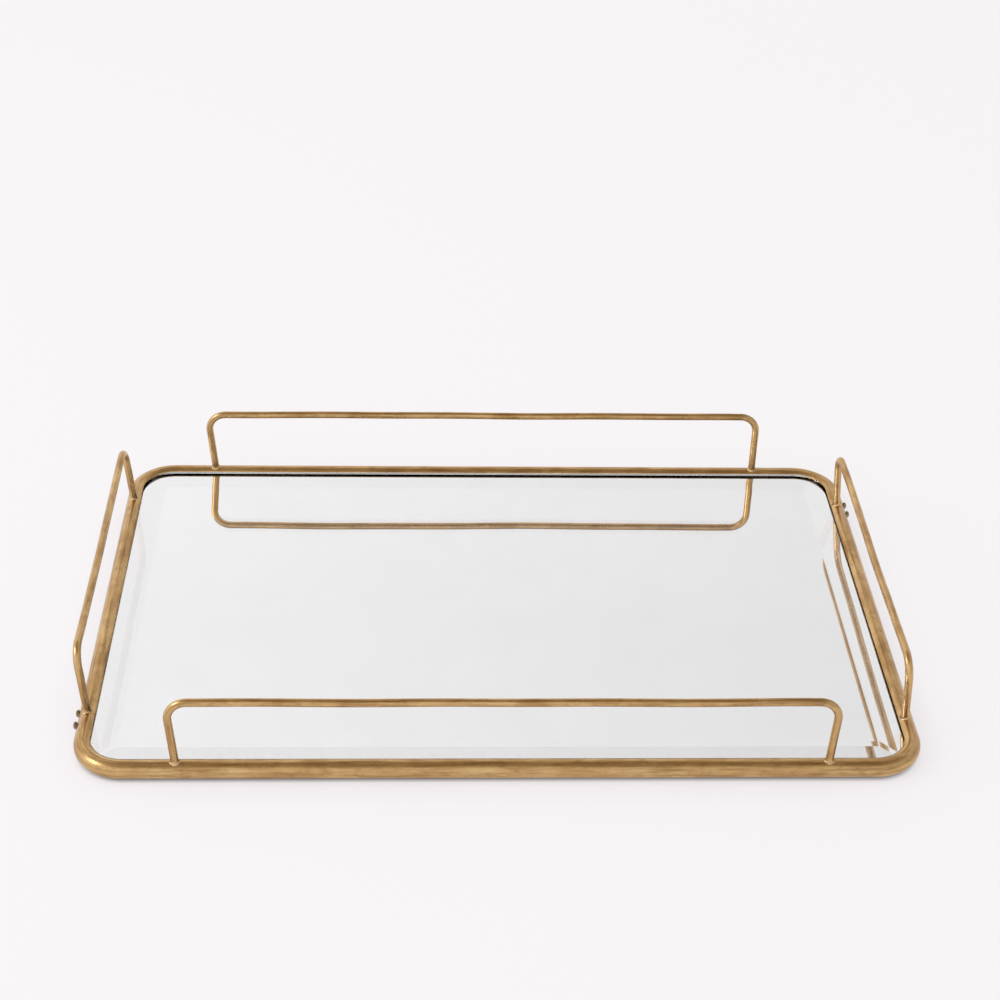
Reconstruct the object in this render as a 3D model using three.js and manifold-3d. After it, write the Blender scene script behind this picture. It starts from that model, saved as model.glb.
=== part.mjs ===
// Mirrored vanity tray: a slotted brass tube frame in two halves around a bevelled mirror,
// with a bent wire rail along each long side and a bent wire handle at each end.
// Millimetres. X runs along the long side, -Y is the front, +Z is up, and the tray stands on z = 0.

import * as THREE from 'three';
import { mergeVertices } from 'three/addons/utils/BufferGeometryUtils.js';
import Module from 'manifold-3d';

const wasm = await Module();
wasm.setup();

// ---- Driving dimensions ----------------------------------------------------------------------

const trayLength = 457;
const trayDepth = 305;
const frameCornerRadius = 23; // to the tube's centreline

const tubeDiameter = 10.4;
const tubeWall = 1;
const tubeLift = 0.5; // the pads hold the tube this far off the table
const slotHeight = 6.6; // the opening on the tube's inner side that takes the panel's edge

const wireDiameter = 4.4;
const wireBendRadius = 10.5; // to the wire's centreline

// The loops are bent by hand, so no two are quite alike. On each, the feet stand the span apart
// about a middle that is off the tray's by the offset, and the top run is the rise above the
// tube's centreline. The legs splay apart by the splay each. Seen from above, the top run is
// moved along itself by the skew, and sideways by the lean.
const frontRail = { span: 346, offset: 1.2, rise: 44.2, splay: 3, skew: -0.5, lean: 0 };
const rearRail = { span: 348.8, offset: -0.4, rise: 44.2, splay: 1.9, skew: -2, lean: 0 };
const leftHandle = { span: 214.4, offset: 2.4, rise: 42.8, splay: -2, skew: 0, lean: 3.6 };
const rightHandle = { span: 216, offset: -2.6, rise: 42.8, splay: 0.7, skew: -1.6, lean: 3.4 };

const panelEngagement = 1.5; // the panel's edge stops this far inside the tube's centreline
const glassThickness = 3;
const glassBevelWidth = 16.5;
const glassBevelDepth = 1.33;
const boardThickness = 3.1;
const panelClearance = 0.15;

const seamDistance = 107; // from the tray's middle to each seam, along Y
const spliceDistance = 106; // from the tray's middle to the middle of a splice, along Y
const seamGap = 0.3;
const spliceLength = 25;
const spliceClearance = 0.3;
const screwPitch = 10.2;
const screwShankDiameter = 2.5;
const screwLength = 6.2;
const screwHeadDiameter = 4.2;
const screwHeadHeight = 1.7;
const screwHeadRim = 1; // the upright part of the head's side
const screwCrownRadius = 0.8;
const screwRecessReach = 2.6; // across the cross, end to end
const screwRecessWidth = 0.9;
const screwTipTaper = 0.5;
const screwClearance = 0.3;

const brazeReach = 1.1; // how far a braze ring spreads out past the wire
const brazeHeight = 2.2; // from the tube's top to the ring's upper edge
const brazeBase = 3.6; // where a ring starts, from the tube's centreline
const brazeLip = 0.25; // a ring's width at its upper edge
const contactGap = 0.3;

const padDiameter = 10;
const padInset = 34; // from the frame's centrelines to a pad's centre

// ---- Derived places --------------------------------------------------------------------------

const tubeRadius = tubeDiameter / 2;
const boreRadius = tubeRadius - tubeWall;
const wireRadius = wireDiameter / 2;
const halfX = trayLength / 2 - tubeRadius;
const halfY = trayDepth / 2 - tubeRadius;
const tubeHeight = tubeLift + tubeRadius;
const boardBottom = tubeHeight - slotHeight / 2 + panelClearance;
const glassTop = tubeHeight + slotHeight / 2 - panelClearance;
const glassBottom = glassTop - glassThickness;

// ---- Materials -------------------------------------------------------------------------------

function finish(color, roughness, metalness) {
  return new THREE.MeshStandardMaterial({ color, roughness, metalness });
}

const agedBrass = finish(0xb08a54, 0.38, 1);
const brightBraze = finish(0xd4b07a, 0.3, 1);
const darkScrew = finish(0x6b5238, 0.42, 1);
const plainBrass = finish(0xa8854c, 0.5, 1);
const mirror = finish(0xe2e5e3, 0.04, 1);
const paintedBoard = finish(0x2a2724, 0.85, 0);
const rubber = finish(0x34322f, 0.8, 0);

// ---- Solids: joining and cutting -------------------------------------------------------------

function toSolid(geometry) {
  const bare = geometry.clone();
  bare.deleteAttribute('normal');
  bare.deleteAttribute('uv');
  const merged = mergeVertices(bare, 1e-4);
  const vertProperties = Float32Array.from(merged.attributes.position.array);
  const triVerts = Uint32Array.from(merged.index.array);
  return new wasm.Manifold(new wasm.Mesh({ numProp: 3, vertProperties, triVerts }));
}

function toGeometry(solid) {
  const mesh = solid.getMesh();
  const geometry = new THREE.BufferGeometry();
  geometry.setAttribute('position', new THREE.BufferAttribute(mesh.vertProperties, 3));
  geometry.setIndex(new THREE.BufferAttribute(mesh.triVerts, 1));
  geometry.computeVertexNormals();
  return geometry;
}

function cut(geometry, cutters) {
  let solid = toSolid(geometry);
  for (const cutter of cutters) solid = solid.subtract(toSolid(cutter));
  return toGeometry(solid);
}

// ---- Shapes shared by several pieces ---------------------------------------------------------

// A route of straight runs joined by round bends. It is walked station by station: one station
// at each end of a straight run and a few along each bend, so straight runs cost nothing.
class BentRoute extends THREE.Curve {
  constructor(corners, bendRadius, stepsPerBend) {
    super();
    this.places = [corners[0]];
    this.directions = [corners[1].clone().sub(corners[0]).normalize()];
    for (let i = 1; i < corners.length - 1; i++) {
      this.addBend(corners[i - 1], corners[i], corners[i + 1], bendRadius, stepsPerBend);
    }
    const last = corners.at(-1);
    this.places.push(last);
    this.directions.push(last.clone().sub(corners.at(-2)).normalize());
  }

  addBend(before, corner, after, bendRadius, steps) {
    const inward = corner.clone().sub(before).normalize();
    const onward = after.clone().sub(corner).normalize();
    const turn = inward.angleTo(onward);
    const start = corner.clone().addScaledVector(inward, -bendRadius * Math.tan(turn / 2));
    const axis = inward.clone().cross(onward).normalize();
    const toCentre = axis.clone().cross(inward).multiplyScalar(bendRadius);
    const centre = start.clone().add(toCentre);
    for (let i = 0; i <= steps; i++) {
      const angle = (turn * i) / steps;
      this.places.push(toCentre.clone().negate().applyAxisAngle(axis, angle).add(centre));
      this.directions.push(inward.clone().applyAxisAngle(axis, angle));
    }
  }

  get steps() {
    return this.places.length - 1;
  }

  getUtoTmapping(u) {
    return u;
  }

  getPoint(t) {
    const along = t * this.steps;
    const i = Math.min(Math.floor(along + 1e-6), this.steps - 1);
    return this.places[i].clone().lerp(this.places[i + 1], along - i);
  }

  getTangent(t) {
    return this.directions[Math.round(t * this.steps)].clone();
  }
}

function sweep(section, route, curveSegments) {
  return new THREE.ExtrudeGeometry(section, {
    steps: route.steps,
    extrudePath: route,
    curveSegments,
  });
}

function circleSection(radius) {
  const section = new THREE.Shape();
  section.absarc(0, 0, radius, 0, 2 * Math.PI, false);
  return section;
}

// A tube's wall with a slot on its left as the route is walked, which is the section's +Y side.
function slottedTubeSection() {
  const outerHalf = Math.asin(slotHeight / 2 / tubeRadius);
  const innerHalf = Math.asin(slotHeight / 2 / boreRadius);
  const slotAngle = Math.PI / 2;
  const section = new THREE.Shape();
  section.absarc(0, 0, tubeRadius, slotAngle + outerHalf, slotAngle - outerHalf + 2 * Math.PI, false);
  section.absarc(0, 0, boreRadius, slotAngle - innerHalf + 2 * Math.PI, slotAngle + innerHalf, true);
  section.closePath();
  return section;
}

function roundedRectangle(halfWidth, halfHeight, radius) {
  const shape = new THREE.Shape();
  const x = halfWidth - radius;
  const y = halfHeight - radius;
  shape.absarc(x, y, radius, 0, Math.PI / 2, false);
  shape.absarc(-x, y, radius, Math.PI / 2, Math.PI, false);
  shape.absarc(-x, -y, radius, Math.PI, 1.5 * Math.PI, false);
  shape.absarc(x, -y, radius, 1.5 * Math.PI, 2 * Math.PI, false);
  shape.closePath();
  return shape;
}

// A cylinder along one of the axes, between two places on it.
function rod(radius, axis, from, to, segments) {
  const length = Math.abs(to - from);
  const geometry = new THREE.CylinderGeometry(radius, radius, length, segments);
  if (axis === 'x') geometry.rotateZ(-Math.PI / 2);
  if (axis === 'z') geometry.rotateX(Math.PI / 2);
  const middle = new THREE.Vector3();
  middle[axis] = (from + to) / 2;
  geometry.translate(middle.x, middle.y, middle.z);
  return geometry;
}

const tray = new THREE.Group();

function addPiece(name, geometry, material) {
  const mesh = new THREE.Mesh(geometry, material);
  mesh.name = name;
  tray.add(mesh);
  return mesh;
}

// ---- Frame: two halves, each a bent slotted tube ---------------------------------------------

// One seam is on the left near the front and the other on the right near the rear, so the same
// bent tube makes both halves: the rear half is the front half turned by half a turn about Z.
function frameHalf() {
  const corners = [
    new THREE.Vector3(-halfX, -seamDistance - seamGap / 2, 0),
    new THREE.Vector3(-halfX, -halfY, 0),
    new THREE.Vector3(halfX, -halfY, 0),
    new THREE.Vector3(halfX, seamDistance - seamGap / 2, 0),
  ];
  const tube = sweep(slottedTubeSection(), new BentRoute(corners, frameCornerRadius, 8), 11);
  const holes = [-1, 1].map((side) => {
    const hole = rod(screwShankDiameter / 2 + screwClearance, 'x', boreRadius - 2, tubeRadius + 2, 16);
    if (side < 0) hole.rotateZ(Math.PI);
    hole.translate(side * halfX, side * spliceDistance - screwPitch / 2, 0);
    return hole;
  });
  return cut(tube, holes);
}

for (const [name, turn] of [['frame_half_front', 0], ['frame_half_rear', Math.PI]]) {
  const half = addPiece(name, frameHalf(), agedBrass);
  half.rotation.z = turn;
  half.position.z = tubeHeight;
}

// ---- Seams: a splice bar inside the tube and two screws from outside --------------------------

// The bar is round to fit the bore, with a flat along the side where the panel's edge passes.
function spliceBar() {
  const radius = boreRadius - spliceClearance;
  const bar = rod(radius, 'y', -spliceLength / 2, spliceLength / 2, 24);
  const flat = new THREE.BoxGeometry(radius, spliceLength + 2, 2 * radius);
  flat.translate(-(panelEngagement - spliceClearance) - radius / 2, 0, 0);
  const holes = [-1, 1].map((side) => {
    const hole = rod(screwShankDiameter / 2 + screwClearance, 'x', -radius, radius + 1, 16);
    hole.translate(0, (side * screwPitch) / 2, 0);
    return hole;
  });
  return cut(bar, [flat, ...holes]);
}

// A pan-head screw that points inwards along -X, with a cross recess in its head.
function spliceScrew() {
  const seat = tubeRadius + contactGap;
  const tip = seat - screwLength;
  const shank = screwShankDiameter / 2;
  const head = screwHeadDiameter / 2;
  const profile = [
    new THREE.Vector2(0, tip),
    new THREE.Vector2(shank - screwTipTaper, tip),
    new THREE.Vector2(shank, tip + screwTipTaper),
    new THREE.Vector2(shank, seat),
    new THREE.Vector2(head, seat),
    new THREE.Vector2(head, seat + screwHeadRim),
    new THREE.Vector2(head - screwCrownRadius, seat + screwHeadHeight),
    new THREE.Vector2(0, seat + screwHeadHeight),
  ];
  const body = new THREE.LatheGeometry(profile, 16);
  const recesses = [0, Math.PI / 2].map((turn) => {
    const arm = new THREE.BoxGeometry(screwRecessReach, screwHeadHeight, screwRecessWidth);
    arm.translate(0, seat + screwHeadHeight, 0);
    arm.rotateY(turn);
    return arm;
  });
  const screw = cut(body, recesses);
  screw.rotateZ(-Math.PI / 2);
  return screw;
}

for (const side of [-1, 1]) {
  const sideName = side < 0 ? 'left' : 'right';
  const turn = side < 0 ? Math.PI : 0;
  const bar = addPiece(`splice_bar_${sideName}`, spliceBar(), plainBrass);
  bar.rotation.z = turn;
  bar.position.set(side * halfX, side * spliceDistance, tubeHeight);
  for (const [endName, end] of [['front', -1], ['rear', 1]]) {
    const screw = addPiece(`splice_screw_${sideName}_${endName}`, spliceScrew(), darkScrew);
    screw.rotation.z = turn;
    screw.position.set(side * halfX, side * spliceDistance + (end * screwPitch) / 2, tubeHeight);
  }
}

// ---- Rails and handles: bent wire loops standing on the tube ----------------------------------

// A loop is laid out along X about its own middle, with its feet on a tube that runs along X.
function loopCorners({ span, rise, splay, skew, lean }) {
  const foot = span / 2;
  return [
    new THREE.Vector3(-foot, 0, 0),
    new THREE.Vector3(skew - foot - splay, lean, rise),
    new THREE.Vector3(skew + foot + splay, lean, rise),
    new THREE.Vector3(foot, 0, 0),
  ];
}

function tubeCutter(span) {
  const overhang = 20;
  return rod(tubeRadius + contactGap, 'x', -span / 2 - overhang, span / 2 + overhang, 48);
}

function wireLoop(shape) {
  const route = new BentRoute(loopCorners(shape), wireBendRadius, 6);
  return cut(sweep(circleSection(wireRadius), route, 7), [tubeCutter(shape.span)]);
}

// The ring of braze metal round a leg, hollowed to the tube below it and flared out towards it.
function brazeRing(foot, legTop, span) {
  const inner = wireRadius + contactGap;
  const outer = inner + brazeReach;
  const top = tubeRadius + brazeHeight;
  const profile = [
    new THREE.Vector2(inner, brazeBase),
    new THREE.Vector2(outer, brazeBase),
    new THREE.Vector2(outer, tubeRadius),
    new THREE.Vector2(inner + 0.4 * brazeReach, tubeRadius + 0.4 * brazeHeight),
    new THREE.Vector2(inner + brazeLip, top),
    new THREE.Vector2(inner, top),
    new THREE.Vector2(inner, brazeBase),
  ];
  const ring = new THREE.LatheGeometry(profile, 14);
  const legDirection = legTop.clone().sub(foot).normalize();
  const upright = new THREE.Vector3(0, 1, 0);
  ring.applyQuaternion(new THREE.Quaternion().setFromUnitVectors(upright, legDirection));
  ring.translate(foot.x, foot.y, foot.z);
  return cut(ring, [tubeCutter(span)]);
}

const loopPlaces = [
  { loop: 'front_rail', shape: frontRail, x: frontRail.offset, y: -halfY, turn: 0 },
  { loop: 'rear_rail', shape: rearRail, x: rearRail.offset, y: halfY, turn: 0 },
  { loop: 'left_handle', shape: leftHandle, x: -halfX, y: leftHandle.offset, turn: Math.PI / 2 },
  { loop: 'right_handle', shape: rightHandle, x: halfX, y: rightHandle.offset, turn: Math.PI / 2 },
];

for (const { loop, shape, x, y, turn } of loopPlaces) {
  const stand = new THREE.Group();
  stand.position.set(x, y, tubeHeight);
  stand.rotation.z = turn;
  tray.add(stand);
  stand.add(addPiece(loop, wireLoop(shape), agedBrass));
  const endNames = turn === 0 ? ['left', 'right'] : ['front', 'rear'];
  const [lowFoot, lowTop, highTop, highFoot] = loopCorners(shape);
  const lowRing = brazeRing(lowFoot, lowTop, shape.span);
  const highRing = brazeRing(highFoot, highTop, shape.span);
  stand.add(addPiece(`braze_${loop}_${endNames[0]}`, lowRing, brightBraze));
  stand.add(addPiece(`braze_${loop}_${endNames[1]}`, highRing, brightBraze));
}

// ---- Panel: bevelled mirror over a painted board, both held in the slot ------------------------

const panelHalfX = halfX - panelEngagement;
const panelHalfY = halfY - panelEngagement;
const panelRadius = frameCornerRadius - panelEngagement;

function mirrorGlass() {
  const edge = glassThickness - glassBevelDepth;
  const face = roundedRectangle(
    panelHalfX - glassBevelWidth,
    panelHalfY - glassBevelWidth,
    panelRadius - glassBevelWidth,
  );
  const pane = new THREE.ExtrudeGeometry(face, {
    depth: edge,
    bevelEnabled: true,
    bevelSegments: 1,
    bevelThickness: glassBevelDepth,
    bevelSize: glassBevelWidth,
    curveSegments: 8,
  });
  const below = new THREE.BoxGeometry(trayLength, trayDepth, 10);
  below.translate(0, 0, -5);
  return cut(pane, [below]);
}

addPiece('mirror_glass', mirrorGlass(), mirror).position.z = glassBottom;

const board = new THREE.ExtrudeGeometry(roundedRectangle(panelHalfX, panelHalfY, panelRadius), {
  depth: boardThickness,
  bevelEnabled: false,
  curveSegments: 8,
});
addPiece('backing_board', board, paintedBoard).position.z = boardBottom;

// ---- Pads under the board ----------------------------------------------------------------------

for (const [endName, end] of [['front', -1], ['rear', 1]]) {
  for (const [sideName, side] of [['left', -1], ['right', 1]]) {
    const pad = rod(padDiameter / 2, 'z', 0, boardBottom - contactGap, 32);
    pad.translate(side * (halfX - padInset), end * (halfY - padInset), 0);
    addPiece(`foot_pad_${endName}_${sideName}`, pad, rubber);
  }
}

export default tray;
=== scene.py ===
"""Mirrored vanity tray: aged brass tube frame, bent wire rails and handles, bevelled mirror."""

import math

import bmesh
import bpy
from mathutils import Matrix, Vector, noise


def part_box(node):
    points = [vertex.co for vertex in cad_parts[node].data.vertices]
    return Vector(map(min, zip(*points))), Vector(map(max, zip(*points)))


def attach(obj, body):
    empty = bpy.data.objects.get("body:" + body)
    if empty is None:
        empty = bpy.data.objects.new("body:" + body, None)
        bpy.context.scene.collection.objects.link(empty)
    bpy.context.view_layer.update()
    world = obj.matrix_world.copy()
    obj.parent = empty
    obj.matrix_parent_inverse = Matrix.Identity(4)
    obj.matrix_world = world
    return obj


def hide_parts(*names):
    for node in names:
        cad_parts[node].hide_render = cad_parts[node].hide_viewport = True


MM = 0.001

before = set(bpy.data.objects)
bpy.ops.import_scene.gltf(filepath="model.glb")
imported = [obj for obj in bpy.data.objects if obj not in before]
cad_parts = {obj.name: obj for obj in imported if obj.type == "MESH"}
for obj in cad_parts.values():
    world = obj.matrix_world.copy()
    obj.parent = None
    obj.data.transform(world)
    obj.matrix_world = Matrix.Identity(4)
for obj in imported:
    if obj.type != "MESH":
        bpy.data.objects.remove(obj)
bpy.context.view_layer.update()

# ---- Sizes, in metres, taken from the frame where it holds them --------------------------------

front_low, front_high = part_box("frame_half_front")
rear_low, rear_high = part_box("frame_half_rear")
glass_low, glass_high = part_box("mirror_glass")
board_low, board_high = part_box("backing_board")

TUBE_RADIUS = (front_high.z - front_low.z) / 2
TUBE_WALL = 1.0 * MM
BORE_RADIUS = TUBE_RADIUS - TUBE_WALL
TUBE_Z = (front_high.z + front_low.z) / 2
HALF_X = front_high.x - TUBE_RADIUS
HALF_Y = rear_high.y - TUBE_RADIUS
SLOT_HALF = 3.3 * MM
FRAME_CORNER = 23.0 * MM
SEAM_Y = (front_high.y - rear_low.y) / 2
SEAM_GAP = 0.2 * MM

WIRE_RADIUS = 2.2 * MM
WIRE_BEND = 10.5 * MM
FOOT_SINK = 0.7 * MM  # a wire's foot ends this far below the tube's top, inside its wall
BRAZE_REACH = 1.1 * MM
BRAZE_HEIGHT = 1.9 * MM
BRAZE_SINK = 0.25 * MM  # the fillet's skirt starts this far below the tube's skin
BRAZE_UNDERSIDE = 0.35 * MM
BRAZE_LIP = 0.04 * MM
BRAZE_WANDER = 0.28  # how unevenly the braze has run out
BRAZE_HOLLOW = 2.4  # a higher power draws the fillet in faster towards the leg
BRAZE_CLIMB = 1.3
BRAZE_STEPS = 12
BRAZE_SIDES = 40
WIRE_SWAY = 0.22 * MM  # how far hand-bent wire wanders
WIRE_SIDES = 28
WIRE_BEND_STEPS = 14
WIRE_RUN_STEP = 9 * MM
TUBE_EDGE = 0.2 * MM
TUBE_OUTSIDE_STEPS = 40
TUBE_INSIDE_STEPS = 28
TUBE_BEND_STEPS = 20
TUBE_RUN_STEP = 40 * MM

GLASS_INSET = HALF_X - glass_high.x
GLASS_BEVEL = 16.5 * MM
GLASS_BEVEL_DEPTH = 1.33 * MM
SILVER_INSET = 0.3 * MM
SILVER_FACE = 0.03 * MM  # how far the silvering's two sides lie below the glass
SILVER_BACK = 0.12 * MM
BOARD_EDGE = 0.3 * MM
PAD_RIM = 0.9 * MM
PAD_GLUE = 0.25 * MM  # the film between a pad and the board
PAD_SIDES = 48
CORNER_STEPS = 16


# ---- Mesh helpers ------------------------------------------------------------------------------

def finish_piece(name, bm, material, node, sharp_degrees=32):
    """Turns a bmesh into a smooth-shaded piece on the tray's one body."""
    bmesh.ops.recalc_face_normals(bm, faces=bm.faces)
    for face in bm.faces:
        face.smooth = True
    limit = math.radians(sharp_degrees)
    for edge in bm.edges:
        if len(edge.link_faces) == 2:
            edge.smooth = edge.calc_face_angle(0.0) < limit
    mesh = bpy.data.meshes.new(name)
    bm.to_mesh(mesh)
    bm.free()
    mesh.materials.append(material)
    piece = bpy.data.objects.new(name, mesh)
    bpy.context.scene.collection.objects.link(piece)
    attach(piece, "root")
    if node:
        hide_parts(node)


def placement(place, along, up):
    """The matrix that stands a section at a place, facing along, with its own Y axis upwards."""
    side = up.cross(along).normalized()
    true_up = along.cross(side).normalized()
    turn = Matrix((side, true_up, along)).transposed().to_4x4()
    return Matrix.Translation(place) @ turn


def walk(corners, bend_radius, bend_steps, run_step):
    """Stations (place, direction, distance) along straight runs joined by round bends."""
    stations = []
    ends = [corners[0]]
    for before, corner, after in zip(corners, corners[1:], corners[2:]):
        into = (corner - before).normalized()
        out = (after - corner).normalized()
        turn = into.angle(out)
        reach = bend_radius * math.tan(turn / 2)
        ends.append((corner - into * reach, corner + out * reach, into, out, turn))
    ends.append(corners[-1])
    distance = 0.0
    place = ends[0]
    for bend in ends[1:]:
        straight_end = bend[0] if isinstance(bend, tuple) else bend
        run = straight_end - place
        steps = max(1, round(run.length / run_step))
        for i in range(steps):
            t = i / steps
            stations.append((place + run * t, run.normalized(), distance + run.length * i / steps))
        distance += run.length
        place = straight_end
        if isinstance(bend, tuple):
            _, bend_end, into, out, turn = bend
            axis = into.cross(out).normalized()
            centre = place + axis.cross(into) * bend_radius
            for i in range(bend_steps):
                spin = Matrix.Rotation(turn * i / bend_steps, 3, axis)
                stations.append((centre + spin @ (place - centre), spin @ into, distance))
                distance += bend_radius * turn / bend_steps
            place = bend_end
    stations.append((place, run.normalized(), distance))
    return stations


def sweep(section, stations, up):
    """A closed section pushed along the stations. Each vertex keeps, as its grain, its place in
    the section and its distance along the route, so that a finish can follow the metal."""
    bm = bmesh.new()
    grain = bm.verts.layers.float_vector.new("grain")
    here = placement(stations[0][0], stations[0][1], up)
    ring = []
    for x, y in section:
        vert = bm.verts.new(here @ Vector((x, y, 0)))
        vert[grain] = (x, y, stations[0][2])
        ring.append(vert)
    edges = [bm.edges.new((a, b)) for a, b in zip(ring, ring[1:] + ring[:1])]
    first = list(edges)
    for place, direction, distance in stations[1:]:
        made = bmesh.ops.extrude_edge_only(bm, edges=edges)["geom"]
        verts = [g for g in made if isinstance(g, bmesh.types.BMVert)]
        edges = [g for g in made if isinstance(g, bmesh.types.BMEdge) and len(g.link_faces) == 1]
        there = placement(place, direction, up)
        bmesh.ops.transform(bm, matrix=there @ here.inverted(), verts=verts)
        for vert in verts:
            vert[grain] = (vert[grain].x, vert[grain].y, distance)
        here = there
    for rim in (first, edges):
        bmesh.ops.edgeloop_fill(bm, edges=rim)
    return bm


def arc(radius, start, end, steps):
    """Points on a circle about the origin, both ends included, with angles in radians."""
    angles = [start + (end - start) * i / steps for i in range(steps + 1)]
    return [(radius * math.cos(a), radius * math.sin(a)) for a in angles]


def soften(bm, width, segments, degrees):
    """Rounds every edge that is sharper than the angle."""
    limit = math.radians(degrees)
    sharp = [e for e in bm.edges if len(e.link_faces) == 2 and e.calc_face_angle(0) > limit]
    bmesh.ops.bevel(
        bm, geom=sharp, offset=width, segments=segments, profile=0.5, affect="EDGES", material=-1
    )


def rounded_slab(half_x, half_y, radius, low, high):
    """A flat slab with round corners, from its lower face to its upper face."""
    bm = bmesh.new()
    bmesh.ops.create_grid(bm, x_segments=1, y_segments=1, size=1)
    bmesh.ops.scale(bm, vec=(half_x, half_y, 1), verts=bm.verts)
    bmesh.ops.translate(bm, vec=(0, 0, low), verts=bm.verts)
    bmesh.ops.bevel(
        bm, geom=list(bm.verts), offset=radius, offset_type="OFFSET", segments=CORNER_STEPS,
        profile=0.5, affect="VERTICES", material=-1,
    )
    made = bmesh.ops.extrude_face_region(bm, geom=list(bm.faces))["geom"]
    verts = [g for g in made if isinstance(g, bmesh.types.BMVert)]
    bmesh.ops.translate(bm, vec=(0, 0, high - low), verts=verts)
    return bm


def lathe(profile, steps):
    """A closed solid turned about Z from (radius, height) points, the first and last on Z."""
    bm = bmesh.new()
    verts = [bm.verts.new((r, 0, h)) for r, h in profile]
    edges = [bm.edges.new(pair) for pair in zip(verts, verts[1:])]
    bmesh.ops.spin(
        bm, geom=verts + edges, cent=(0, 0, 0), axis=(0, 0, 1),
        angle=2 * math.pi, steps=steps, use_merge=True,
    )
    bmesh.ops.remove_doubles(bm, verts=bm.verts, dist=1e-7)
    return bm


# ---- Materials ---------------------------------------------------------------------------------

class Finish:
    """A material with a short way to add and join nodes."""

    # The Mix node has sockets of the same names for other data, so its colour ones go by number.
    MIX_COLOUR_A = 6
    MIX_COLOUR_B = 7
    MIX_COLOUR_RESULT = 2

    def __init__(self, name):
        self.material = bpy.data.materials.new(name)
        self.material.use_nodes = True
        self.tree = self.material.node_tree
        self.shader = self.tree.nodes["Principled BSDF"]

    def node(self, kind, **values):
        made = self.tree.nodes.new(kind)
        for key, value in values.items():
            setattr(made, key, value)
        return made

    def link(self, source, target):
        self.tree.links.new(source, target)

    def set(self, **values):
        for key, value in values.items():
            self.shader.inputs[key.replace("_", " ")].default_value = value

    def grain(self):
        return self.node("ShaderNodeAttribute", attribute_name="grain").outputs["Vector"]

    def place(self):
        return self.node("ShaderNodeTexCoord").outputs["Object"]

    def noise(self, vector, scale, detail=3.0, roughness=0.5, stretch=(1, 1, 1)):
        mapping = self.node("ShaderNodeMapping")
        mapping.inputs["Scale"].default_value = stretch
        self.link(vector, mapping.inputs["Vector"])
        texture = self.node("ShaderNodeTexNoise")
        texture.inputs["Scale"].default_value = scale
        texture.inputs["Detail"].default_value = detail
        texture.inputs["Roughness"].default_value = roughness
        self.link(mapping.outputs["Vector"], texture.inputs["Vector"])
        return texture.outputs["Fac"]

    def spread(self, value, low, high, to_low=0.0, to_high=1.0):
        remap = self.node("ShaderNodeMapRange")
        remap.inputs["From Min"].default_value = low
        remap.inputs["From Max"].default_value = high
        remap.inputs["To Min"].default_value = to_low
        remap.inputs["To Max"].default_value = to_high
        self.link(value, remap.inputs["Value"])
        return remap.outputs["Result"]

    def math(self, operation, a, b):
        step = self.node("ShaderNodeMath", operation=operation)
        for socket, value in zip(step.inputs, (a, b)):
            if isinstance(value, float):
                socket.default_value = value
            else:
                self.link(value, socket)
        return step.outputs["Value"]

    def vector(self, operation, a, b):
        step = self.node("ShaderNodeVectorMath", operation=operation)
        self.link(a, step.inputs[0])
        step.inputs[1].default_value = b
        return step.outputs["Vector"]

    def blend(self, amount, a, b):
        mix = self.node("ShaderNodeMix", data_type="RGBA")
        self.link(amount, mix.inputs["Factor"])
        for index, value in ((self.MIX_COLOUR_A, a), (self.MIX_COLOUR_B, b)):
            if isinstance(value, tuple):
                mix.inputs[index].default_value = (*value, 1)
            else:
                self.link(value, mix.inputs[index])
        return mix.outputs[self.MIX_COLOUR_RESULT]

    def bump(self, height, strength, distance):
        bump = self.node("ShaderNodeBump")
        bump.inputs["Strength"].default_value = strength
        bump.inputs["Distance"].default_value = distance
        self.link(height, bump.inputs["Height"])
        self.link(bump.outputs["Normal"], self.shader.inputs["Normal"])


BRASS_LIGHT = (0.70, 0.475, 0.22)
BRASS_MIDDLE = (0.52, 0.31, 0.125)
BRASS_DARK = (0.25, 0.132, 0.048)
BRASS_RED = (0.46, 0.235, 0.105)


def aged_brass(name, base_roughness, along_grain=True):
    """Brushed brass that has toned unevenly: long dark streaks, cloudy patina, fine scratches."""
    finish = Finish(name)
    finish.set(Metallic=1.0)
    where = finish.grain() if along_grain else finish.place()
    clouds = finish.noise(where, 75, 4, 0.6, (1, 1, 0.5))
    blush = finish.noise(where, 38, 3, 0.55, (1, 1, 0.7))
    blotches = finish.noise(where, 300, 4, 0.65, (1, 1, 0.45))
    streaks = finish.noise(where, 620, 4, 0.6, (1, 1, 0.055))
    brushing = finish.noise(where, 2600, 2, 0.6, (1, 1, 0.02))
    cloudy = finish.spread(clouds, 0.38, 0.66)
    blotchy = finish.spread(blotches, 0.50, 0.74, 0.0, 0.55)
    streaky = finish.spread(streaks, 0.46, 0.72, 0.0, 0.75)
    brushed = finish.spread(brushing, 0.3, 0.7)
    toned = finish.blend(cloudy, BRASS_LIGHT, BRASS_MIDDLE)
    blushed = finish.blend(finish.spread(blush, 0.50, 0.72, 0.0, 0.45), toned, BRASS_RED)
    marked = finish.blend(blotchy, blushed, BRASS_DARK)
    lined = finish.blend(streaky, marked, BRASS_DARK)
    shaded = finish.blend(finish.math("MULTIPLY", brushed, 0.18), lined, BRASS_DARK)
    finish.link(shaded, finish.shader.inputs["Base Color"])
    rough = finish.math("ADD", finish.math("MULTIPLY", cloudy, 0.10), base_roughness)
    rougher = finish.math("ADD", rough, finish.math("MULTIPLY", brushed, 0.06))
    finish.link(rougher, finish.shader.inputs["Roughness"])
    finish.bump(finish.math("ADD", brushing, finish.math("MULTIPLY", streaks, 1.5)), 0.25, 0.03 * MM)
    return finish.material


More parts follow.
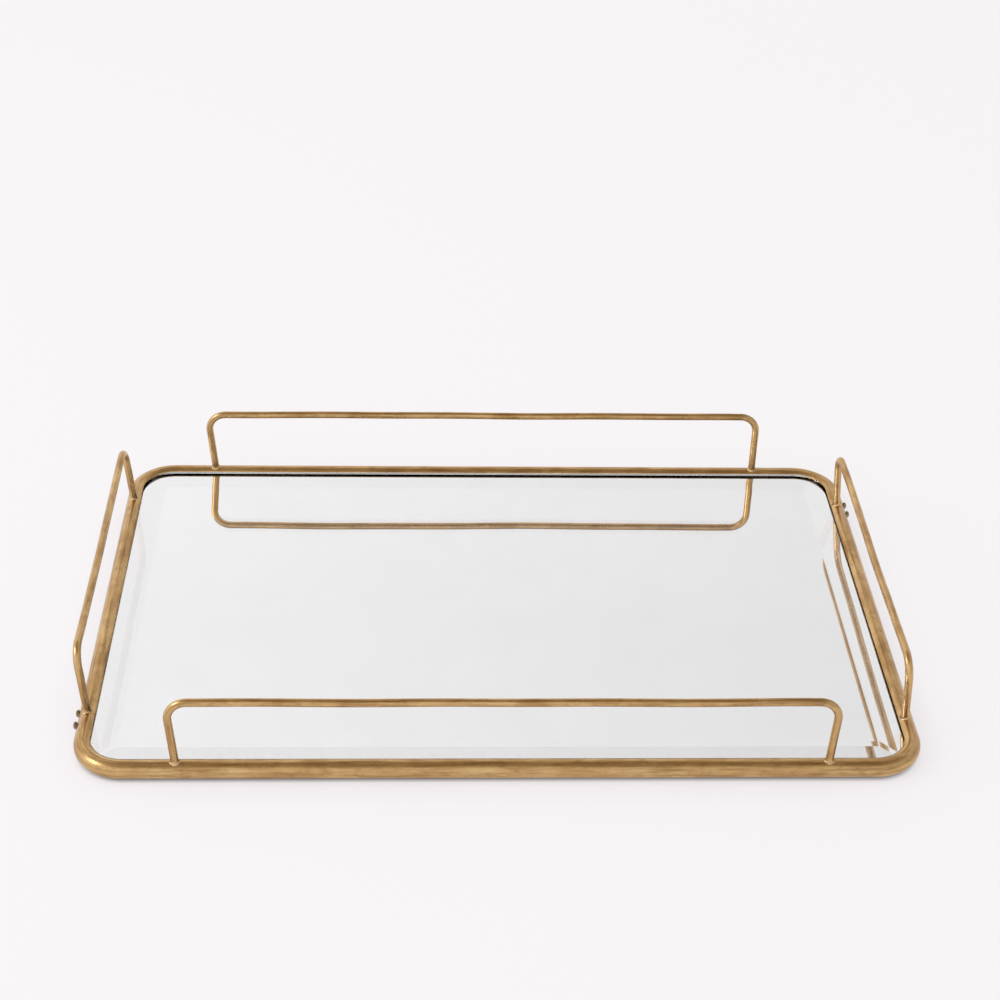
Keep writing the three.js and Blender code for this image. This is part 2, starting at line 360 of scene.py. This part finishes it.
def bright_braze():
    finish = Finish("braze")
    finish.set(Metallic=1.0)
    lumps = finish.noise(finish.place(), 900, 3, 0.6)
    toned = finish.blend(finish.spread(lumps, 0.35, 0.7), (0.74, 0.53, 0.29), (0.42, 0.25, 0.11))
    finish.link(toned, finish.shader.inputs["Base Color"])
    finish.link(finish.spread(lumps, 0.3, 0.7, 0.2, 0.38), finish.shader.inputs["Roughness"])
    finish.bump(lumps, 0.5, 0.15 * MM)
    return finish.material


def dark_screw():
    finish = Finish("darkened_brass_screw")
    finish.set(Metallic=1.0)
    wear = finish.noise(finish.place(), 1500, 3, 0.6)
    toned = finish.blend(finish.spread(wear, 0.35, 0.7), (0.16, 0.11, 0.065), (0.50, 0.37, 0.24))
    finish.link(toned, finish.shader.inputs["Base Color"])
    finish.link(finish.spread(wear, 0.3, 0.7, 0.28, 0.5), finish.shader.inputs["Roughness"])
    finish.bump(wear, 0.3, 0.05 * MM)
    return finish.material


def clear_glass():
    """Float glass with its faint green body and a trace of dust."""
    finish = Finish("float_glass")
    finish.set(Transmission_Weight=1.0, IOR=1.52, Roughness=0.0)
    dust = finish.noise(finish.place(), 35, 4, 0.6)
    tint = finish.blend(finish.spread(dust, 0.3, 0.7), (0.992, 0.995, 0.993), (0.985, 0.989, 0.987))
    finish.link(tint, finish.shader.inputs["Base Color"])
    return finish.material


def silver_coat():
    finish = Finish("silver_coat")
    finish.set(Metallic=1.0, Roughness=0.0)
    haze = finish.noise(finish.place(), 18, 3, 0.5)
    tone = finish.blend(finish.spread(haze, 0.3, 0.7), (0.955, 0.955, 0.955), (0.937, 0.94, 0.94))
    finish.link(tone, finish.shader.inputs["Base Color"])
    return finish.material


def painted_board():
    finish = Finish("painted_board")
    fibres = finish.noise(finish.place(), 420, 5, 0.65, (1, 3, 1))
    tone = finish.blend(finish.spread(fibres, 0.35, 0.7), (0.022, 0.020, 0.018), (0.05, 0.045, 0.04))
    finish.link(tone, finish.shader.inputs["Base Color"])
    finish.link(finish.spread(fibres, 0.3, 0.7, 0.65, 0.9), finish.shader.inputs["Roughness"])
    finish.bump(fibres, 0.4, 0.1 * MM)
    return finish.material


def pad_rubber():
    finish = Finish("pad_rubber")
    grainy = finish.noise(finish.place(), 2200, 3, 0.6)
    tone = finish.blend(finish.spread(grainy, 0.35, 0.7), (0.03, 0.028, 0.026), (0.055, 0.052, 0.048))
    finish.link(tone, finish.shader.inputs["Base Color"])
    finish.link(finish.spread(grainy, 0.3, 0.7, 0.6, 0.85), finish.shader.inputs["Roughness"])
    finish.bump(grainy, 0.35, 0.06 * MM)
    return finish.material


tube_brass = aged_brass("aged_brass_tube", 0.2)
wire_brass = aged_brass("aged_brass_wire", 0.18)
bar_brass = aged_brass("drawn_brass_bar", 0.4, along_grain=False)
braze_metal = bright_braze()
screw_metal = dark_screw()

# ---- Frame: two halves of slotted tube ---------------------------------------------------------

def slotted_section():
    """The tube's wall, open on the side that faces the mirror, which is the section's +X side."""
    outer_gap = math.asin(SLOT_HALF / TUBE_RADIUS)
    inner_gap = math.asin(SLOT_HALF / BORE_RADIUS)
    outside = arc(TUBE_RADIUS, outer_gap, 2 * math.pi - outer_gap, TUBE_OUTSIDE_STEPS)
    inside = arc(BORE_RADIUS, 2 * math.pi - inner_gap, inner_gap, TUBE_INSIDE_STEPS)
    return outside + inside


def frame_half(name, node, turn):
    corners = [
        Vector((-HALF_X, -SEAM_Y - SEAM_GAP / 2, TUBE_Z)),
        Vector((-HALF_X, -HALF_Y, TUBE_Z)),
        Vector((HALF_X, -HALF_Y, TUBE_Z)),
        Vector((HALF_X, SEAM_Y - SEAM_GAP / 2, TUBE_Z)),
    ]
    stations = walk(corners, FRAME_CORNER, TUBE_BEND_STEPS, TUBE_RUN_STEP)
    bm = sweep(slotted_section(), stations, Vector((0, 0, 1)))
    soften(bm, TUBE_EDGE, 3, 60)
    bmesh.ops.rotate(bm, cent=(0, 0, 0), matrix=Matrix.Rotation(turn, 3, "Z"), verts=bm.verts)
    finish_piece(name, bm, tube_brass, node)


frame_half("front_frame_tube", "frame_half_front", 0)
frame_half("rear_frame_tube", "frame_half_rear", math.pi)

# ---- Rails and handles -------------------------------------------------------------------------

def wire_loop(name, node, foot_a, top_a, top_b, foot_b, phase):
    """A bent wire loop. Its top run wanders a little, as hand-bent wire does."""
    corners = [foot_a, top_a, top_b, foot_b]
    stations = walk(corners, WIRE_BEND, WIRE_BEND_STEPS, WIRE_RUN_STEP)
    along = (top_b - top_a).normalized()
    lean = along.cross(Vector((0, 0, 1)))
    total = stations[-1][2]
    swayed = []
    for place, direction, distance in stations:
        t = distance / total
        level = max(0.0, min(1.0, (place.z - TUBE_Z) / (top_a.z - TUBE_Z) * 1.6 - 0.4))
        lift = math.sin(2 * math.pi * (2.1 * t + phase))
        lift += 0.6 * math.sin(2 * math.pi * (4.7 * t + 2 * phase))
        drift = math.cos(2 * math.pi * (1.6 * t + phase))
        shift = Vector((0, 0, 1)) * (lift * WIRE_SWAY * level) + lean * (drift * WIRE_SWAY * level)
        swayed.append((place + shift, direction, distance))
    up = along.cross((top_a - foot_a).normalized()).normalized()
    section = arc(WIRE_RADIUS, 0, 2 * math.pi, WIRE_SIDES)[:-1]
    finish_piece(name, sweep(section, swayed, up), wire_brass, node)


# Each loop is bent by hand, so no two are quite alike. The feet stand the span apart about a middle
# that is off the tray's by the offset. The top run is the rise above the tube's centreline, with
# legs that splay, moved along itself by the skew and sideways by the lean. All in millimetres.
LOOPS = {
    "front_rail": dict(span=346, offset=1.2, rise=44.2, splay=3, skew=-0.5, lean=0),
    "rear_rail": dict(span=348.8, offset=-0.4, rise=44.2, splay=1.9, skew=-2, lean=0),
    "left_handle": dict(span=214.4, offset=2.4, rise=42.8, splay=-2, skew=0, lean=3.6),
    "right_handle": dict(span=216, offset=-2.6, rise=42.8, splay=0.7, skew=-1.6, lean=3.4),
}
STANDS = {
    "front_rail": (Vector((0, -HALF_Y, TUBE_Z)), 0),
    "rear_rail": (Vector((0, HALF_Y, TUBE_Z)), 0),
    "left_handle": (Vector((-HALF_X, 0, TUBE_Z)), math.pi / 2),
    "right_handle": (Vector((HALF_X, 0, TUBE_Z)), math.pi / 2),
}


def loop_corners(loop):
    """Foot, top, top and foot of a loop's centreline, from the tube's centreline up."""
    shape = LOOPS[loop]
    stand, turn = STANDS[loop]
    foot = shape["span"] / 2
    flat = [
        Vector((-foot, 0, 0)),
        Vector((shape["skew"] - foot - shape["splay"], shape["lean"], shape["rise"])),
        Vector((shape["skew"] + foot + shape["splay"], shape["lean"], shape["rise"])),
        Vector((foot, 0, 0)),
    ]
    spin = Matrix.Rotation(turn, 3, "Z")
    return [stand + spin @ ((corner + Vector((shape["offset"], 0, 0))) * MM) for corner in flat]


def build_loop(loop, phase):
    low_foot, low_top, high_top, high_foot = loop_corners(loop)
    rise = TUBE_RADIUS - FOOT_SINK
    low_start = low_foot + (low_top - low_foot) * (rise / (low_top.z - low_foot.z))
    high_start = high_foot + (high_top - high_foot) * (rise / (high_top.z - high_foot.z))
    wire_loop(f"{loop}_wire", loop, low_start, low_top, high_top, high_start, phase)
    ends = ("left", "right") if loop.endswith("rail") else ("front", "rear")
    along_x = loop.endswith("rail")
    braze_collar(f"braze_{loop}_{ends[0]}", low_foot, low_top, along_x, phase)
    braze_collar(f"braze_{loop}_{ends[1]}", high_foot, high_top, along_x, phase + 0.5)


def braze_collar(node, foot, top, along_x, seed):
    """A fillet of braze that rises in a hollow curve from the tube to the leg."""
    profile = [(0, -BRAZE_UNDERSIDE)]
    for i in range(BRAZE_STEPS + 1):
        t = i / BRAZE_STEPS
        reach = WIRE_RADIUS + BRAZE_LIP + BRAZE_REACH * (1 - t) ** BRAZE_HOLLOW
        profile.append((reach, -BRAZE_SINK + (BRAZE_HEIGHT + BRAZE_SINK) * t ** BRAZE_CLIMB))
    profile.append((0, BRAZE_HEIGHT))
    bm = lathe(profile, BRAZE_SIDES)
    slope = (top - foot) / (top.z - foot.z)
    for vert in bm.verts:
        angle = math.atan2(vert.co.y, vert.co.x)
        wander = noise.noise(Vector((math.cos(angle), math.sin(angle), seed * 7))) * BRAZE_WANDER
        spread = vert.co.xy.length - WIRE_RADIUS
        if spread > 0:
            vert.co.xy *= 1 + wander * spread / WIRE_RADIUS
        across = vert.co.y if along_x else vert.co.x
        surface = math.sqrt(max(0.0, TUBE_RADIUS ** 2 - across ** 2))
        height = surface + vert.co.z
        vert.co = foot + slope * height + Vector((vert.co.x, vert.co.y, 0))
    finish_piece(f"{node}_fillet", bm, braze_metal, node, 60)


# The second value shifts the wander in the wire and the braze, so that no two loops match.
WANDERS = (("front_rail", 0.15), ("rear_rail", 0.55), ("left_handle", 0.3), ("right_handle", 0.8))
for loop, phase in WANDERS:
    build_loop(loop, phase)

# ---- Splices, mirror, board and pads -----------------------------------------------------------

for side in ("left", "right"):
    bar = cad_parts[f"splice_bar_{side}"]
    bar.data.materials.clear()
    bar.data.materials.append(bar_brass)
    for end in ("front", "rear"):
        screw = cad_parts[f"splice_screw_{side}_{end}"]
        screw.data.materials.clear()
        screw.data.materials.append(screw_metal)

PANEL_X = glass_high.x
PANEL_Y = glass_high.y
PANEL_CORNER = FRAME_CORNER - GLASS_INSET


def grind_bevel(bm, side_x, side_y):
    """Grinds one side's bevel: a sloping plane that meets its neighbours in mitred corners."""
    edge = Vector((side_x * (PANEL_X - GLASS_BEVEL), side_y * (PANEL_Y - GLASS_BEVEL), glass_high.z))
    slope = Vector((side_x * GLASS_BEVEL_DEPTH, side_y * GLASS_BEVEL_DEPTH, GLASS_BEVEL)).normalized()
    cut = bmesh.ops.bisect_plane(
        bm, geom=bm.verts[:] + bm.edges[:] + bm.faces[:], dist=1e-7,
        plane_co=edge, plane_no=slope, clear_outer=True,
    )
    rim = [g for g in cut["geom_cut"] if isinstance(g, bmesh.types.BMEdge)]
    bmesh.ops.edgeloop_fill(bm, edges=rim)


glass_bm = rounded_slab(PANEL_X, PANEL_Y, PANEL_CORNER, glass_low.z, glass_high.z)
for side_x, side_y in ((1, 0), (0, 1), (-1, 0), (0, -1)):
    grind_bevel(glass_bm, side_x, side_y)
finish_piece("bevelled_mirror_glass", glass_bm, clear_glass(), "mirror_glass", 3)

silver_bm = rounded_slab(
    PANEL_X - SILVER_INSET, PANEL_Y - SILVER_INSET, PANEL_CORNER - SILVER_INSET,
    glass_low.z - SILVER_BACK, glass_low.z - SILVER_FACE,
)
finish_piece("mirror_silvering", silver_bm, silver_coat(), None)

board_bm = rounded_slab(PANEL_X, PANEL_Y, PANEL_CORNER, board_low.z, board_high.z)
soften(board_bm, BOARD_EDGE, 2, 60)
finish_piece("hardboard_back", board_bm, painted_board(), "backing_board")

rubber = pad_rubber()
for end in ("front", "rear"):
    for side in ("left", "right"):
        low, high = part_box(f"foot_pad_{end}_{side}")
        radius = (high.x - low.x) / 2
        rim = arc(PAD_RIM, -math.pi / 2, 0, 8)
        profile = [(0, low.z), (radius - PAD_RIM, low.z)]
        profile += [(radius - PAD_RIM + x, low.z + PAD_RIM + y) for x, y in rim]
        profile += [(radius, high.z + PAD_GLUE), (0, high.z + PAD_GLUE)]
        pad_bm = lathe(profile, PAD_SIDES)
        middle = (low + high) / 2
        bmesh.ops.translate(pad_bm, vec=(middle.x, middle.y, 0), verts=pad_bm.verts)
        finish_piece(f"rubber_pad_{end}_{side}", pad_bm, rubber, f"foot_pad_{end}_{side}")

# ---- Studio: floor, backdrop, light, camera ----------------------------------------------------

FLOOR_HALF_WIDTH = 40
FLOOR_GLOW = 0.60  # the pale floor is a light table, which keeps the shadows soft
GLOW_STARTS = -4.5 * MM  # the floor's glow is taken away under the tray, out to just inside its edge: a painted shadow
GLOW_FULL = -0.5 * MM


def studio_floor():
    bm = bmesh.new()
    bmesh.ops.create_grid(bm, x_segments=1, y_segments=1, size=FLOOR_HALF_WIDTH)
    mesh = bpy.data.meshes.new("floor")
    bm.to_mesh(mesh)
    bm.free()
    floor = bpy.data.objects.new("floor", mesh)
    bpy.context.scene.collection.objects.link(floor)
    finish = Finish("pale_floor")
    finish.set(Base_Color=(0.335, 0.332, 0.342, 1), Roughness=0.95, Specular_IOR_Level=0.1)
    finish.set(Emission_Color=(0.985, 0.967, 1.0, 1))
    # The glow fades to nothing under the tray, measured inside the tray's rounded outline: a painted
    # shadow under the tray.
    apart = finish.vector("ABSOLUTE", finish.place(), (0, 0, 0))
    apart = finish.vector("SUBTRACT", apart, (HALF_X - FRAME_CORNER, HALF_Y - FRAME_CORNER, 0))
    apart = finish.vector("MAXIMUM", apart, (0, 0, 0))
    radius = finish.node("ShaderNodeVectorMath", operation="LENGTH")
    finish.link(apart, radius.inputs[0])
    rim = FRAME_CORNER + TUBE_RADIUS
    glow_with_painted_shadow = finish.spread(radius.outputs["Value"], rim + GLOW_STARTS, rim + GLOW_FULL, 0.0, FLOOR_GLOW)
    finish.link(glow_with_painted_shadow, finish.shader.inputs["Emission Strength"])
    mesh.materials.append(finish.material)


def area_light(name, place, target, size, power, glossy):
    light = bpy.data.lights.new(name, "AREA")
    light.shape = "RECTANGLE"
    light.size, light.size_y = size
    light.energy = power
    lamp = bpy.data.objects.new(name, light)
    lamp.location = place
    direction = Vector(target) - Vector(place)
    lamp.rotation_euler = direction.to_track_quat("-Z", "Y").to_euler()
    lamp.visible_glossy = glossy
    lamp.visible_transmission = glossy
    bpy.context.scene.collection.objects.link(lamp)


# Brightness of the studio's surroundings by the sine of the elevation: white walls up to about 45
# degrees, and a dim ceiling.
WALLS_AND_CEILING = (
    (0.0, 1.0), (0.47, 1.0), (0.59, 0.93), (0.70, 0.92), (0.80, 0.68), (0.90, 0.46), (1.0, 0.40),
)
CEILING_STARTS = 0.75
LEFT_LEVEL = 1.08
RIGHT_LEVEL = 0.62
DIMMING_STARTS = -0.3  # by the X part of the direction; further left, the walls are even


def studio_walls():
    world = bpy.data.worlds.new("studio")
    bpy.context.scene.world = world
    world.use_nodes = True
    tree = world.node_tree
    place = tree.nodes.new("ShaderNodeTexCoord")
    parts = tree.nodes.new("ShaderNodeSeparateXYZ")
    ramp = tree.nodes.new("ShaderNodeValToRGB")
    stops = ramp.color_ramp.elements
    for position, _ in WALLS_AND_CEILING[1:-1]:
        stops.new(position)
    for stop, (position, level) in zip(stops, WALLS_AND_CEILING):
        stop.position = position
        warm = 1.0 if position > CEILING_STARTS else 0.0
        stop.color = (level, level * (0.982 - 0.12 * warm), level * (0.99 - 0.30 * warm), 1)
    fall = tree.nodes.new("ShaderNodeMapRange")
    fall.inputs["From Min"].default_value = DIMMING_STARTS
    fall.inputs["To Min"].default_value = LEFT_LEVEL
    fall.inputs["To Max"].default_value = RIGHT_LEVEL
    tree.links.new(place.outputs["Generated"], parts.inputs["Vector"])
    tree.links.new(parts.outputs["Z"], ramp.inputs["Fac"])
    tree.links.new(ramp.outputs["Color"], tree.nodes["Background"].inputs["Color"])
    tree.links.new(parts.outputs["X"], fall.inputs["Value"])
    tree.links.new(fall.outputs["Result"], tree.nodes["Background"].inputs["Strength"])


studio_floor()
studio_walls()
area_light("left_softbox", (-1.7, -0.35, 1.25), (0, 0, 0), (0.8, 0.8), 7, True)
area_light("ceiling_fill", (0, 0.4, 6), (0, 0.4, 0), (4, 4), 95, False)

CAMERA_AZIMUTH = math.radians(-2.949)
CAMERA_ELEVATION = math.radians(32.638)
CAMERA_ROLL = math.radians(1.805)
CAMERA_DISTANCE = 1.2920
SENSOR_WIDTH = 36
LENS = 72.61
CAMERA_TARGET = Vector((0.00808, 0.1163, 0.0057))

back = Vector((
    math.sin(CAMERA_AZIMUTH) * math.cos(CAMERA_ELEVATION),
    -math.cos(CAMERA_AZIMUTH) * math.cos(CAMERA_ELEVATION),
    math.sin(CAMERA_ELEVATION),
))
flat_right = (-back).cross(Vector((0, 0, 1))).normalized()
flat_up = flat_right.cross(-back)
right = flat_right * math.cos(CAMERA_ROLL) + flat_up * math.sin(CAMERA_ROLL)
top_way = flat_up * math.cos(CAMERA_ROLL) - flat_right * math.sin(CAMERA_ROLL)
camera_data = bpy.data.cameras.new("camera")
camera_data.sensor_width = SENSOR_WIDTH
camera_data.lens = LENS
camera = bpy.data.objects.new("camera", camera_data)
facing = Matrix((right, top_way, back)).transposed().to_4x4()
camera.matrix_world = Matrix.Translation(CAMERA_TARGET + back * CAMERA_DISTANCE) @ facing
bpy.context.scene.collection.objects.link(camera)
bpy.context.scene.camera = camera
bpy.context.scene.view_settings.view_transform = "Standard"
